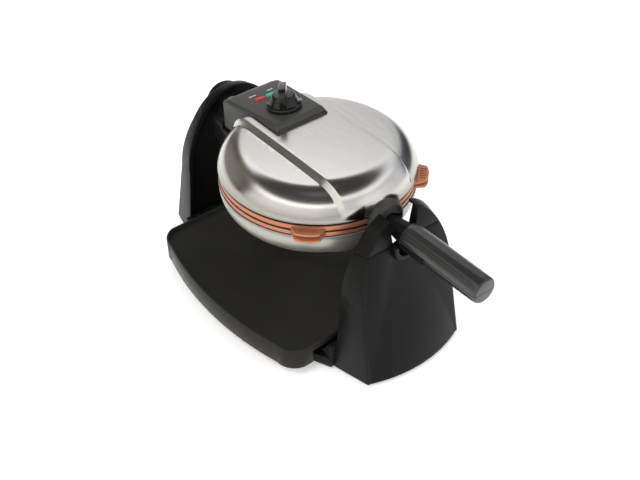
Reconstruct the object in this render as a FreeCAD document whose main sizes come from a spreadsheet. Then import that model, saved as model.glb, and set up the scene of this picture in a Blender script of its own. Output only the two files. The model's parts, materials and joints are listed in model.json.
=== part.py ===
"""Flip waffle maker: two round grids in a steel iron that turns over between two towers, above a drip tray.

Frame: +Z up, origin on the table midway between the towers; the handle points along +X and the tray slides
out along -Y. The iron's own frame has its origin at the centre of the grids, on the flip axis.
"""
import FreeCAD, Part
import Sketcher
import math
import os
import re

doc = FreeCAD.newDocument("waffle_maker")
sheet = doc.addObject("Spreadsheet::Sheet", "Sizes")

SIZES = {
    "axis_height": 150.0,       # flip axis above the table
    "iron_offset": 17.0,        # centre of the grids from the middle of the base
    "moving_gap": 0.4,          # between pieces that move past each other
    "shaft_fit": 0.05,          # radial play of a turning shaft
    "seat_gap": 0.1,            # around a piece set into a pocket
    "cut_past": 1.0,            # how far a cut reaches past the face that it opens
    # towers
    "tower_inner": 130.0,
    "tower_foot_outer": 172.0,
    "tower_seam_outer": 146.0,
    "tower_top_outer": 142.0,
    "tower_taper": 10.0,        # narrowing of each side from the inner face to the foot's outer face
    "tower_foot_half": 71.0,
    "tower_waist_half": 63.5,
    "tower_waist_height": 85.0,
    "tower_side_radius": 107.0,
    "tower_shoulder_half": 38.0,
    "tower_shoulder_height": 158.5,
    "tower_height": 176.0,
    "tower_rim": 5.0,
    "crown_share": 0.7,         # of an inset, for the towers' rounded top
    "tower_recess": 8.0,
    "liner_wall": 2.5,
    "bulge_depth": 11.5,
    "bulge_half": 58.0,
    "bulge_gap": 5.0,           # between the swelling's top and the saddle's lip
    "bulge_top_half": 9.0,
    "bulge_top_depth": 0.3,
    "bulge_sections": 5,
    "cap_seam": 142.0,
    "notch_half": 13.0,
    "notch_top_half": 18.5,
    "notch_drop": 12.0,         # from the flip axis down to the centre of the notch's round end
    "saddle_wall": 1.6,
    "saddle_lip": 3.0,
    "saddle_lip_depth": 2.0,
    "bush_wall": 5.0,
    "pivot_cap_radius": 22.0,
    "pivot_cap_depth": 15.0,
    "pivot_cap_edge": 7.5,
    "pivot_cap_bend": 12.6,
    "pivot_cap_face": 15.0,
    "pivot_cap_seat": 3.0,
    "gland_radius": 8.0,
    "gland_neck": 5.8,
    "gland_flange": 6.0,
    "gland_length": 18.0,
    "gland_bore": 3.6,
    "gland_tip_wall": 1.5,
    "gland_height": 28.0,
    "gland_across": 150.0,
    # base and feet
    "base_floor": 3.0,
    "base_top": 15.0,
    "base_wall": 3.0,
    "base_front": 84.0,
    "base_front_half": 108.0,
    "base_side_front": 74.0,
    "base_back": 68.0,
    "rail_width": 6.5,
    "rail_height": 31.0,
    "web_step": 8.0,
    "web_drop": 5.0,
    "web_notch": 4.0,
    "web_reach": 18.0,
    "foot_radius": 8.0,
    "foot_height": 3.0,
    "foot_inset": 16.0,
    "screw_radius": 3.5,
    "screw_height": 1.6,
    # drip tray
    "tray_half": 119.0,
    "tray_side_front": 98.0,
    "tray_corner_half": 97.0,
    "tray_corner_front": 116.0,
    "tray_corner_radius": 22.0,
    "tray_front": 129.0,
    "tray_back": 62.0,
    "tray_rim": 36.0,
    "tray_depth": 7.0,
    "tray_floor": 2.5,
    "tray_wall": 2.5,
    "tray_skirt": 11.0,
    "tray_skirt_back": 87.0,
    "runner_across": 90.0,
    "runner_width": 4.0,
    "runner_length": 120.0,
    # shells of the iron
    "shell_radius": 100.0,
    "shell_edge": 7.6,
    "shell_wall": 1.4,
    "shell_side": 11.0,
    "lobe_height": 35.0,
    "lobe_flat": 63.0,
    "band_height": 41.0,
    "band_flat": 66.0,
    "band_half": 41.5,
    "band_slope": 3.0,
    "under_lobe_height": 41.0,
    "under_lobe_flat": 70.0,
    "under_band_height": 44.0,
    "under_band_flat": 67.0,
    # grids, frames and heaters
    "parting_gap": 0.4,
    "grid_radius": 99.5,
    "grid_band": 5.8,
    "cavity_radius": 84.0,
    "cavity_depth": 12.0,
    "grid_wall": 2.0,
    "peg_gap": 3.2,
    "peg_pitch": 21.0,
    "channel_width": 7.0,
    "divider": 4.0,
    "tab_angle": 44.0,
    "tab_reach": 108.5,
    "tab_root": 95.0,
    "tab_half": 18.0,
    "tab_tip_half": 12.0,
    "tab_tip_bend": 30.0,
    "tab_thick": 2.6,
    "tab_flare": 3.4,
    "frame_wall": 1.2,
    "frame_depth": 22.0,
    "heater_radius": 62.0,
    "heater_tube": 3.2,
    "heater_sweep": 320.0,
    "catch_half": 7.0,
    "catch_reach": 106.0,
    "catch_play": 0.2,
    # hinge and control housing, in the iron's frame
    "hinge_back": 110.0,
    "hinge_rise": 15.0,
    "hinge_pin_radius": 2.5,
    "knuckle_radius": 7.0,
    "knuckle_half": 19.5,
    "ear_width": 7.0,
    "ear_gap": 2.0,
    "ear_root": 6.0,
    "housing_half": 34.0,
    "housing_back": 118.5,
    "housing_ridge_back": 107.0,
    "housing_shoulder": 34.0,
    "housing_front": 28.0,
    "housing_back_height": 40.0,
    "housing_front_height": 49.0,
    "housing_bottom": 4.0,
    "housing_bevel": 7.0,
    "housing_corner": 6.0,
    "housing_front_bevel": 5.0,
    "housing_edge_height": 38.0,
    "housing_crest_height": 52.0,
    "hinge_block_back": 136.0,
    "hinge_block_top": 5.6,
    "hinge_block_depth": 34.0,
    "hinge_block_chin": 20.4,
    "hinge_block_front": 70.0,
    "hinge_block_gap": 1.0,
    "pivot_radius": 4.5,
    "pivot_seat": 15.0,
    "panel_half": 26.5,
    "panel_back": 104.0,
    "panel_front": 33.0,
    "panel_thick": 2.0,
    "knob_back": 54.0,
    "knob_radius": 18.0,
    "knob_skirt": 5.0,
    "knob_skirt_edge": 3.5,
    "knob_hub_foot": 15.5,
    "knob_hub_radius": 11.5,
    "knob_hub_height": 14.0,
    "knob_fin_half": 3.8,
    "knob_fin_height": 25.5,
    "knob_fin_reach": 17.0,
    "knob_fin_bevel": 3.0,
    "knob_fin_fall": 2.0,
    "knob_angle": 38.5,         # from the handle's direction, clockwise from above
    "knob_shaft_radius": 3.0,
    "stem_drop": 14.0,
    "stem_rise": 7.0,
    "thermostat_radius": 14.0,
    "thermostat_height": 12.0,
    "light_back": 86.0,
    "light_half": 6.2,
    "light_apart": 7.2,
    "light_half_width": 3.0,
    "light_proud": 0.6,
    # handle, in the iron's frame
    "collar_radius": 20.0,
    "collar_front": 108.0,
    "collar_back": 88.0,
    "collar_bevel": 3.0,
    "neck_radius": 8.0,
    "neck_bend": 112.0,
    "neck_flare": 129.0,
    "neck_flare_radius": 10.5,
    "neck_mouth_radius": 12.8,
    "grip_radius": 14.0,
    "grip_tip_radius": 13.4,
    "grip_start": 136.0,
    "grip_split": 168.0,
    "grip_end": 232.0,
    "grip_round": 3.0,
    "tang_radius": 9.0,
    "tang_end": 205.0,
}
for row, (alias, value) in enumerate(SIZES.items(), start=1):
    sheet.set(f"A{row}", alias.replace("_", " "))
    sheet.set(f"B{row}", str(value))
    sheet.setAlias(f"B{row}", alias)
doc.recompute()

WORDS = re.compile(r"\b(" + "|".join(SIZES) + r")\b")
IRON = ("iron_offset", "0", "axis_height")
TABLE = ("0", "0", "0")
nodes = []


def cells(text):
    """An expression in which every size's name points at its cell."""
    return WORDS.sub(r"Sizes.\1", text)


def measure(text):
    """What an expression comes to now."""
    return float(sheet.evalExpression(text))


def bind(thing, **sizes):
    for name, text in sizes.items():
        thing.setExpression(name.replace("__", "."), cells(text))
    return thing


def place(thing, spot, frame=TABLE, turn=None):
    """Sets a thing at spot in one of the two frames; turn is an axis and an angle in degrees."""
    if turn:
        turned = FreeCAD.Rotation(FreeCAD.Vector(*turn[0]), turn[1])
        thing.Placement = FreeCAD.Placement(FreeCAD.Vector(), turned)
    for letter, origin, text in zip("xyz", frame, spot):
        thing.setExpression(f"Placement.Base.{letter}", cells(f"{origin} + ({text})"))
    return thing


def node(thing, label):
    """Marks a finished sub-part, which is written out under its label."""
    thing.Label = label
    nodes.append(thing)
    return thing


def box(name, low, size, frame=TABLE):
    thing = doc.addObject("Part::Box", name)
    bind(thing, Length=size[0], Width=size[1], Height=size[2])
    return place(thing, low, frame)


AXIS_TURN = {"x": ((0, 1, 0), 90), "y": ((1, 0, 0), -90), "z": None}


def cylinder(name, radius, length, start, axis="z", frame=TABLE):
    """A cylinder that starts at a point and runs along +X, +Y or +Z."""
    thing = doc.addObject("Part::Cylinder", name)
    bind(thing, Radius=radius, Height=length)
    return place(thing, start, frame, AXIS_TURN[axis])


def fuse(name, *pieces):
    thing = doc.addObject("Part::MultiFuse", name)
    thing.Shapes = list(pieces)
    return thing


def cut(name, base, *tools):
    thing = doc.addObject("Part::Cut", name)
    thing.Base = base
    thing.Tool = tools[0] if len(tools) == 1 else fuse(name + "_tools", *tools)
    return thing


def common(name, *pieces):
    thing = doc.addObject("Part::MultiCommon", name)
    thing.Shapes = list(pieces)
    return thing


def mirror(name, source, normal, frame=TABLE):
    thing = doc.addObject("Part::Mirroring", name)
    thing.Source = source
    thing.Normal = FreeCAD.Vector(*normal)
    for letter, text in zip("xyz", frame):
        thing.setExpression(f"Base.{letter}", cells(text))
    return thing


def body(name):
    return doc.addObject("PartDesign::Body", name)


def outline(owner, name, plane, points, offset="0"):
    """A closed sketch. A point is (x, y) or (x, y, radius, side): an arc runs on from it, bulging left (1) or
    right (-1) of the way to the next point."""
    sketch = owner.newObject("Sketcher::SketchObject", name)
    support = next(f for f in owner.Origin.OriginFeatures if f.Role == plane)
    sketch.AttachmentSupport = [(support, "")]
    sketch.MapMode = "FlatFace"
    sketch.setExpression("AttachmentOffset.Base.z", cells(offset))
    spots = [FreeCAD.Vector(measure(p[0]), measure(p[1]), 0) for p in points]
    starts = []
    for i, point in enumerate(points):
        here, there = spots[i], spots[(i + 1) % len(spots)]
        if len(point) == 2:
            sketch.addGeometry(Part.LineSegment(here, there), False)
            starts.append(1)
            continue
        radius = measure(point[2])
        way = there - here
        rise = radius - math.sqrt(max(radius**2 - way.Length**2 / 4, 0))
        left = FreeCAD.Vector(-way.y, way.x, 0).normalize()
        middle = (here + there) / 2 + left * rise * point[3]
        ends = (there, here) if point[3] > 0 else (here, there)
        sketch.addGeometry(Part.Arc(ends[0], middle, ends[1]), False)
        starts.append(2 if point[3] > 0 else 1)
    for i, point in enumerate(points):
        after = (i + 1) % len(points)
        sketch.addConstraint(Sketcher.Constraint("Coincident", i, 3 - starts[i], after, starts[after]))
        for kind, text, value in (("DistanceX", point[0], spots[i].x), ("DistanceY", point[1], spots[i].y)):
            rule = sketch.addConstraint(Sketcher.Constraint(kind, -1, 1, i, starts[i], value))
            sketch.setExpression(f"Constraints[{rule}]", cells(text))
        if len(point) > 2:
            rule = sketch.addConstraint(Sketcher.Constraint("Radius", i, measure(point[2])))
            sketch.setExpression(f"Constraints[{rule}]", cells(point[2]))
    return sketch


def pad(owner, sketch, length, symmetric=False, down=False):
    thing = owner.newObject("PartDesign::Pad", sketch.Name + "_pad")
    thing.Profile = sketch
    thing.SideType = "Symmetric" if symmetric else "One side"
    thing.Reversed = down
    return bind(thing, Length=length)


def pocket(owner, sketch, length, symmetric=False, up=False):
    thing = owner.newObject("PartDesign::Pocket", sketch.Name + "_pocket")
    thing.Profile = sketch
    thing.SideType = "Symmetric" if symmetric else "One side"
    thing.Reversed = up
    return bind(thing, Length=length)


def revolve(owner, sketch, axis="V_Axis", angle=360.0, back=False):
    thing = owner.newObject("PartDesign::Revolution", sketch.Name + "_turn")
    thing.Profile = sketch
    thing.ReferenceAxis = (sketch, [axis])
    thing.Angle = angle
    thing.Reversed = back
    return thing


def both_sides(points):
    """An outline's right half, listed from the bottom up, closed by its own mirror image."""
    left = [(f"-({x})", y) for x, y in reversed(points)]
    return points + left


def arch(inset, sole=None):
    """The towers' outline in the YZ plane, drawn in by inset; sole is the height of its lower edge."""
    sole = sole or f"foot_height + {inset}"
    foot = f"tower_foot_half - {inset}"
    waist = f"tower_waist_half - {inset}"
    shoulder = f"tower_shoulder_half - {inset} * crown_share"
    crown = f"tower_shoulder_height - {inset} * crown_share"
    rise = "(tower_height - tower_shoulder_height)"
    crown_radius = f"(({shoulder})^2 + {rise}^2) / (2 * {rise})"
    side = "tower_side_radius"
    return [
        (foot, sole),
        (waist, "tower_waist_height", side, -1),
        (shoulder, crown, crown_radius, -1),
        (f"-({shoulder})", crown, side, -1),
        (f"-({waist})", "tower_waist_height"),
        (f"-({foot})", sole),
    ]


def skin(level):
    """How far out a tower's leaning outer face lies at a height up to the caps' seam."""
    lean = "(tower_foot_outer - tower_seam_outer) / (cap_seam - foot_height)"
    return f"(tower_foot_outer - ({level} - foot_height) * {lean})"


def crown_skin(level):
    """How far out the outer face lies at a height above the caps' seam."""
    lean = "(tower_seam_outer - tower_top_outer) / (tower_height + cut_past - cap_seam)"
    return f"(tower_seam_outer - ({level} - cap_seam) * {lean})"


def tower_form():
    """The right tower as one drafted arch with a bell-shaped swelling on its outer face."""
    owner = body("tower_form")
    draft = owner.newObject("PartDesign::AdditiveLoft", "tower_draft")
    inner = outline(owner, "tower_arch", "YZ_Plane", arch("0"), "tower_inner")
    outer = arch("tower_taper", "foot_height")
    draft.Profile = inner
    draft.Sections = [outline(owner, "tower_outer_arch", "YZ_Plane", outer, "tower_foot_outer")]
    draft.Ruled = True
    lean = [
        ("tower_foot_outer", "foot_height"),
        ("tower_foot_outer + cut_past", "foot_height"),
        ("tower_foot_outer + cut_past", "tower_height + cut_past"),
        ("tower_top_outer", "tower_height + cut_past"),
        ("tower_seam_outer", "cap_seam"),
    ]
    pocket(owner, outline(owner, "tower_lean", "XZ_Plane", lean), "4 * tower_foot_half", symmetric=True)
    swell = owner.newObject("PartDesign::AdditiveLoft", "tower_swell")
    top = "(axis_height - notch_drop - notch_half - saddle_lip - bulge_gap)"
    rings = []
    count = int(SIZES["bulge_sections"])
    for number in range(count):
        rise = number / (count - 1)
        left = (1 + math.cos(math.pi * rise)) / 2
        half = f"(bulge_top_half + (bulge_half - bulge_top_half) * {1 - rise**1.5:.6f})"
        deep = f"(bulge_top_depth + (bulge_depth - bulge_top_depth) * {left:.6f})"
        level = f"foot_height + ({top} - foot_height) * {rise:.6f}"
        face = skin(level)
        ring = [
            ("tower_inner + tower_recess + cut_past", f"-{half}"),
            (face, f"-{half}", f"({half}^2 + {deep}^2) / (2 * {deep})", -1),
            (face, half),
            ("tower_inner + tower_recess + cut_past", half),
        ]
        rings.append(outline(owner, f"swell_{number}", "XY_Plane", ring, level))
    swell.Profile = rings[0]
    swell.Sections = rings[1:]
    hollow = outline(owner, "tower_hollow", "YZ_Plane", arch("tower_rim"), "tower_inner")
    pocket(owner, hollow, "tower_recess", up=True)
    return owner


def liner(name):
    """The flat panel that closes a tower's recess."""
    owner = body(name)
    level = "tower_inner + tower_recess - liner_wall"
    inside = arch("(tower_rim + seat_gap)")
    pad(owner, outline(owner, name + "_arch", "YZ_Plane", inside, level), "liner_wall")
    return owner


def notch(name, spread, start, length):
    """A slot through a tower, widened by spread: round below the flip axis and wider at its open top."""
    owner = body(name)
    half = f"(notch_half + {spread})"
    mouth = f"(notch_top_half + {spread})"
    middle = "axis_height - notch_drop"
    slot = [
        ("-" + mouth, "tower_height + cut_past"),
        ("-" + half, middle, half, -1),
        ("0", f"{middle} - {half}", half, -1),
        (half, middle),
        (mouth, "tower_height + cut_past"),
    ]
    pad(owner, outline(owner, name + "_slot", "YZ_Plane", slot, start), length)
    return owner


def right_tower():
    """The handle's tower: a lower shell, a cap above the seam and a saddle in the notch between them."""
    form = tower_form()
    through = "tower_foot_outer - tower_inner + bulge_depth + 2 * cut_past"
    gap = notch("notch_gap", "0", "tower_inner - cut_past", through)
    face = skin("cap_seam")
    open_form = cut("tower_open", form, gap)
    room = "2 * tower_foot_half"
    corner = ("tower_inner - cut_past", "-tower_foot_half", "cap_seam")
    above = box("above_seam", corner, (through, room, "tower_height"))
    node(cut("tower_right", open_form, above), "tower_right")
    for name, side in (("tower_cap_front", "-tower_foot_half"), ("tower_cap_back", "0")):
        corner = ("tower_inner - cut_past", side, "cap_seam")
        half = box(name + "_room", corner, (through, "tower_foot_half", "tower_height"))
        node(common(name, open_form, half), name)
    slot = notch("saddle_slot", "-saddle_wall", "tower_inner - cut_past", through)
    end = skin("axis_height - notch_drop - notch_half - saddle_lip") + " + saddle_lip_depth"
    tube = notch("saddle_tube", "0", "tower_inner", f"{end} - tower_inner")
    lip = notch("saddle_lip_form", "saddle_lip", face, f"{end} - {face}")
    rim = cut("saddle_lip_rim", lip, form)
    corner = ("tower_inner - cut_past", "-tower_foot_half", "cap_seam")
    top = box("saddle_above", corner, (through, room, "tower_height"))
    node(cut("saddle", fuse("saddle_whole", tube, rim), slot, top), "saddle")
    panel = liner("right_liner_form")
    wide = notch("liner_gap", "seat_gap", "tower_inner - cut_past", through)
    node(cut("liner_right", panel, wide), "liner_right")
    return form, panel


def left_tower(form, panel):
    """The hinge's tower: the same shell turned round, bored for the flip pivot."""
    shell = mirror("left_form", form, (1, 0, 0))
    bore = cylinder(
        "pivot_bore",
        "pivot_radius + shaft_fit + bush_wall",
        "tower_foot_outer",
        ("-2 * tower_foot_outer + tower_inner", "0", "axis_height"),
        "x",
    )
    lead = cylinder(
        "gland_bore_form",
        "gland_neck + seat_gap",
        "3 * tower_recess",
        ("-gland_across", "tower_foot_half - 2 * tower_recess", "gland_height"),
        "y",
    )
    tower = node(cut("tower_left", shell, bore, lead), "tower_left")
    node(cut("liner_left", mirror("left_liner_form", panel, (1, 0, 0)), bore), "liner_left")
    face = crown_skin("axis_height")
    ring = cylinder(
        "bush_ring",
        "pivot_radius + shaft_fit + bush_wall",
        face + " - tower_inner",
        ("-" + face, "0", "axis_height"),
        "x",
    )
    far = ("-2 * tower_foot_outer", "0", "axis_height")
    hole = cylinder("bush_hole", "pivot_radius + shaft_fit", "2 * tower_foot_outer", far, "x")
    node(cut("pivot_bush", ring, hole), "pivot_bush")
    owner = body("cap_form")
    dome = [
        ("0", "0"),
        ("pivot_cap_radius", "0"),
        ("pivot_cap_radius", "pivot_cap_edge", "pivot_cap_bend", -1),
        ("pivot_cap_face", "pivot_cap_depth"),
        ("0", "pivot_cap_depth"),
    ]
    revolve(owner, outline(owner, "cap_dome", "XZ_Plane", dome))
    place(owner, ("pivot_cap_seat - " + face, "0", "axis_height"), TABLE, ((0, 1, 0), -90))
    node(cut("pivot_cap_seated", owner, shell, ring), "pivot_cap")
    owner = body("gland_form")
    sleeve = [
        ("gland_bore", "-gland_flange"),
        ("gland_neck", "-gland_flange"),
        ("gland_neck", "0"),
        ("gland_radius", "0"),
        ("gland_radius", "gland_flange"),
        ("gland_bore + gland_tip_wall", "gland_length"),
        ("gland_bore", "gland_length"),
    ]
    revolve(owner, outline(owner, "gland_sleeve", "XZ_Plane", sleeve))
    draft = "(tower_foot_half - tower_waist_half) / (tower_waist_height - foot_height)"
    taper = "tower_taper / (tower_foot_outer - tower_inner)"
    lowered = f"(gland_height - gland_radius - foot_height) * {draft}"
    drawn_in = f"(gland_across + gland_radius - tower_inner) * {taper}"
    seat = f"tower_foot_half - {lowered} - {drawn_in}"
    place(owner, ("-gland_across", seat, "gland_height"), TABLE, ((1, 0, 0), -90))
    node(cut("cord_gland_seated", owner, tower), "cord_gland")


def base_pan():
    """The low floor that joins the towers, with a rail along each side for the tray."""
    owner = body("base_form")
    plan = [
        ("tower_inner", "-base_side_front"),
        ("tower_inner", "base_back"),
        ("-tower_inner", "base_back"),
        ("-tower_inner", "-base_side_front"),
        ("-base_front_half", "-base_front"),
        ("base_front_half", "-base_front"),
    ]
    pad(owner, outline(owner, "base_plan", "XY_Plane", plan, "foot_height"), "base_top - foot_height")
    for name, side in (("rail_right", ""), ("rail_left", "-")):
        rail = [
            (f"{side}(tower_inner - rail_width)", "-base_side_front"),
            (f"{side}tower_inner", "-base_side_front"),
            (f"{side}tower_inner", "base_back"),
            (f"{side}(tower_inner - rail_width)", "base_back"),
        ]
        pad(owner, outline(owner, name, "XY_Plane", rail, "base_top"), "rail_height - base_top")
        web = [
            (f"{side}tower_inner", "base_top"),
            (f"{side}tower_inner", "rail_height"),
            (f"{side}(tower_inner - rail_width)", "rail_height"),
            (f"{side}(tower_inner - web_step)", "rail_height - web_drop"),
            (f"{side}(tower_inner - web_step - web_notch)", "rail_height - web_drop - web_notch"),
            (f"{side}(tower_inner - web_reach)", "base_top"),
        ]
        sketch = outline(owner, name + "_web", "XZ_Plane", web, "base_side_front - base_wall")
        pad(owner, sketch, "base_wall")
    inner = [
        ("tower_inner - base_wall", "-(base_side_front - base_wall)"),
        ("tower_inner - base_wall", "base_back - base_wall"),
        ("-(tower_inner - base_wall)", "base_back - base_wall"),
        ("-(tower_inner - base_wall)", "-(base_side_front - base_wall)"),
        ("-(base_front_half - base_wall)", "-(base_front - base_wall)"),
        ("base_front_half - base_wall", "-(base_front - base_wall)"),
    ]
    hollow = outline(owner, "base_hollow", "XY_Plane", inner, "foot_height")
    pocket(owner, hollow, "base_top - foot_height - base_floor", up=True)
    node(owner, "base_pan")
    pads = []
    heads = []
    for name, across, along in (
        ("front_right", "1", "-1"),
        ("front_left", "-1", "-1"),
        ("back_right", "1", "1"),
        ("back_left", "-1", "1"),
    ):
        spot = (f"{across} * (tower_inner + foot_inset)", f"{along} * (tower_foot_half - foot_inset)", "0")
        pads.append(cylinder("foot_" + name, "foot_radius", "foot_height", spot))
        where = (
            f"{across} * (tower_inner - base_wall - screw_height)",
            f"{along} * (tower_foot_half - foot_inset)",
            "(base_top - base_floor + foot_height) / 2",
        )
        start = where if across == "1" else ("-(tower_inner - base_wall)", where[1], where[2])
        heads.append(cylinder("screw_" + name, "screw_radius", "screw_height", start, "x"))
    node(fuse("feet", *pads), "feet")
    node(fuse("base_screws", *heads), "base_screws")


def tray_plan(inset, back):
    """The tray's outline drawn in by inset, with a bowed front and rounded front corners."""
    side = f"tray_half - {inset}"
    front = f"-(tray_corner_front - {inset})"
    bend = f"tray_corner_radius - {inset}"
    bow = "(tray_corner_half^2 + (tray_front - tray_corner_front)^2) / (2 * (tray_front - tray_corner_front))"
    return [
        (side, back),
        (f"-({side})", back),
        (f"-({side})", "-tray_side_front", bend, -1),
        ("-tray_corner_half", front, bow, -1),
        ("tray_corner_half", front, bend, -1),
        (side, "-tray_side_front"),
    ]


def drip_tray():
    """A shallow dish with runners on the base and a skirt that hides the base's front."""
    owner = body("tray_form")
    under = "tray_rim - tray_depth - tray_floor"
    whole = outline(owner, "tray_whole", "XY_Plane", tray_plan("0", "tray_back"), under)
    pad(owner, whole, "tray_depth + tray_floor")
    inner = tray_plan("tray_wall", "tray_back - tray_wall")
    dish = outline(owner, "tray_dish", "XY_Plane", inner, "tray_rim")
    pocket(owner, dish, "tray_depth")
    skirt = outline(owner, "tray_skirt_whole", "XY_Plane", tray_plan("0", "-tray_skirt_back"), "tray_skirt")
    pad(owner, skirt, under + " - tray_skirt")
    hidden = tray_plan("tray_wall", "-tray_skirt_back + cut_past")
    inside = outline(owner, "tray_skirt_inside", "XY_Plane", hidden, "tray_skirt")
    pocket(owner, inside, under + " - tray_skirt", up=True)
    for name, side in (("runner_right", ""), ("runner_left", "-")):
        edge = [
            (f"{side}runner_across", "-runner_length / 2"),
            (f"{side}(runner_across + runner_width)", "-runner_length / 2"),
            (f"{side}(runner_across + runner_width)", "runner_length / 2"),
            (f"{side}runner_across", "runner_length / 2"),
        ]
        foot = "base_top + moving_gap"
        pad(owner, outline(owner, name, "XY_Plane", edge, foot), f"{under} - ({foot})")
    node(owner, "drip_tray")


def dome(name, inset, bottom, half=""):
    """A stepped round lid drawn in by inset: two low lobes with a raised band between them."""
    rounds = []
    for part in ("lobe", "band"):
        owner = body(f"{name}_{part}")
        flat = f"{half}{part}_flat"
        top = f"({half}{part}_height - {inset})"
        edge = f"(shell_radius - {inset})"
        rise = f"({top} - shell_side)"
        bend = f"(({edge} - {flat})^2 + {rise}^2) / (2 * {rise})"
        side = [
            ("0", bottom),
            ("0", top),
            (flat, top, bend, 1),
            (edge, "shell_side"),
            (edge, bottom),
        ]
        revolve(owner, outline(owner, f"{name}_{part}_side", "XZ_Plane", side))
        rounds.append(place(owner, TABLE, IRON))
    owner = body(name + "_rib")
    width = f"band_half - {inset}"
    rib = both_sides([(width + " + band_slope", bottom), (width, half + "band_height + cut_past")])
    pad(owner, outline(owner, name + "_rib_end", "YZ_Plane", rib), "3 * shell_radius", symmetric=True)
    place(owner, TABLE, IRON)
    return fuse(name, rounds[0], common(name + "_band_part", rounds[1], owner))


def iron_round(name, side):
    """A turned piece of the iron, from its half section."""
    owner = body(name)
    revolve(owner, outline(owner, name + "_side", "XZ_Plane", side))
    return place(owner, TABLE, IRON)


def grids():
    """The lower grid with its pegs and lifting tabs, and the upper one as its mirror image."""
    cup = iron_round("grid_cup", [
        ("0", "-(cavity_depth + grid_wall)"),
        ("cavity_radius + grid_wall", "-(cavity_depth + grid_wall)"),
        ("cavity_radius + grid_wall", "-grid_band"),
        ("grid_radius", "-grid_band"),
        ("grid_radius", "-parting_gap"),
        ("cavity_radius", "-parting_gap"),
        ("cavity_radius", "-cavity_depth"),
        ("0", "-cavity_depth"),
    ])
    field = cylinder(
        "peg_field",
        "cavity_radius - channel_width",
        "cavity_depth - peg_gap",
        ("0", "0", "-cavity_depth"),
        frame=IRON,
    )
    channels = []
    reach = int(measure("(cavity_radius - channel_width) / peg_pitch"))
    for step in range(-reach, reach + 1):
        near = f"{step} * peg_pitch - channel_width / 2"
        for way in "xy":
            low = [near, "-cavity_radius", "-cavity_depth"]
            size = ["channel_width", "2 * cavity_radius", "cavity_depth"]
            if way == "y":
                low[0], low[1] = low[1], low[0]
                size[0], size[1] = size[1], size[0]
            channels.append(box(f"channel_{way}_{step + reach}", low, size, IRON))
    pieces = [cup, cut("pegs", field, *channels)]
    deep = "cavity_depth - peg_gap"
    for way, low, size in (
        ("x", ("-cavity_radius", "-divider / 2", "-cavity_depth"), ("2 * cavity_radius", "divider", deep)),
        ("y", ("-divider / 2", "-cavity_radius", "-cavity_depth"), ("divider", "2 * cavity_radius", deep)),
    ):
        pieces.append(box("divider_" + way, low, size, IRON))
    for name, sign in (("tab_front", -1), ("tab_back", 1)):
        owner = body(name)
        plan = [
            ("tab_root", "-tab_half"),
            ("tab_reach", "-tab_tip_half", "tab_tip_bend", -1),
            ("tab_reach", "tab_tip_half"),
            ("tab_root", "tab_half"),
        ]
        pad(owner, outline(owner, name + "_plan", "XY_Plane", plan), "grid_band + tab_flare", down=True)
        flare = body(name + "_flare")
        side = [
            ("tab_root", "-parting_gap"),
            ("tab_reach + tab_tip_half", "-(parting_gap + tab_flare)"),
            ("tab_reach + tab_tip_half", "-(parting_gap + tab_flare + tab_thick)"),
            ("tab_root", "-(parting_gap + tab_thick)"),
        ]
        pad(flare, outline(flare, name + "_side", "XZ_Plane", side), "2 * tab_half", symmetric=True)
        for form in (owner, flare):
            place(form, TABLE, IRON, ((0, 0, sign), 1))
            bind(form, Placement__Rotation__Angle="tab_angle")
        pieces.append(common(name + "_whole", owner, flare))
    lower = node(fuse("lower_grid", *pieces), "lower_grid")
    node(mirror("upper_grid", lower, (0, 0, 1), IRON), "upper_grid")


def frames_and_heaters():
    """Each half's pressed frame, its ring heater and the sprung catch that holds its grid."""
    cup = "cavity_radius + grid_wall + seat_gap"
    frame = iron_round("frame_form", [
        (cup, "grid_band"),
        ("shell_radius - shell_wall", "grid_band"),
        ("shell_radius - shell_wall", "shell_edge"),
        (cup + " + frame_wall", "shell_edge"),
        (cup + " + frame_wall", "frame_depth"),
        ("0", "frame_depth"),
        ("0", "frame_depth - frame_wall"),
        (cup, "frame_depth - frame_wall"),
    ])
    deep = "shell_edge - grid_band"
    slot = box(
        "catch_slot",
        ("-(catch_half + moving_gap)", "cavity_radius", "grid_band - cut_past"),
        ("2 * (catch_half + moving_gap)", "shell_radius", deep + " + cut_past"),
        IRON,
    )
    upper = node(cut("upper_frame", frame, slot), "upper_frame")
    node(mirror("lower_frame", upper, (0, 0, 1), IRON), "lower_frame")
    catch = box(
        "upper_catch",
        ("-catch_half", cup + " + moving_gap", "grid_band + catch_play"),
        ("2 * catch_half", f"catch_reach - ({cup} + moving_gap)", deep + " - 2 * catch_play"),
        IRON,
    )
    node(catch, "upper_catch")
    node(mirror("lower_catch", catch, (0, 0, 1), IRON), "lower_catch")
    heater = doc.addObject("Part::Torus", "upper_heater")
    bind(heater, Radius1="heater_radius", Radius2="heater_tube", Angle3="heater_sweep")
    place(heater, ("0", "0", "cavity_depth + grid_wall + seat_gap + heater_tube"), IRON)
    node(heater, "upper_heater")
    node(mirror("lower_heater", heater, (0, 0, 1), IRON), "lower_heater")


def panel_spot(back, up):
    """A point on the sloping panel, back from the grids' centre and up along the panel's normal."""
    return (f"-{back} - ({up}) * sin({TILT})", "0", f"{level(back)} + ({up}) * cos({TILT})")


SLOPE = "(housing_front_height - housing_back_height) / (housing_ridge_back - housing_front)"
TILT = f"atan({SLOPE})"


def level(back):
    return f"(housing_back_height + (housing_ridge_back - {back}) * {SLOPE})"


def tilted(thing, back, up, across="0"):
    """Sets a thing on the sloping panel."""
    spot = panel_spot(back, up)
    place(thing, (spot[0], across, spot[2]), IRON, ((0, -1, 0), 1))
    return bind(thing, Placement__Rotation__Angle=TILT)


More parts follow.
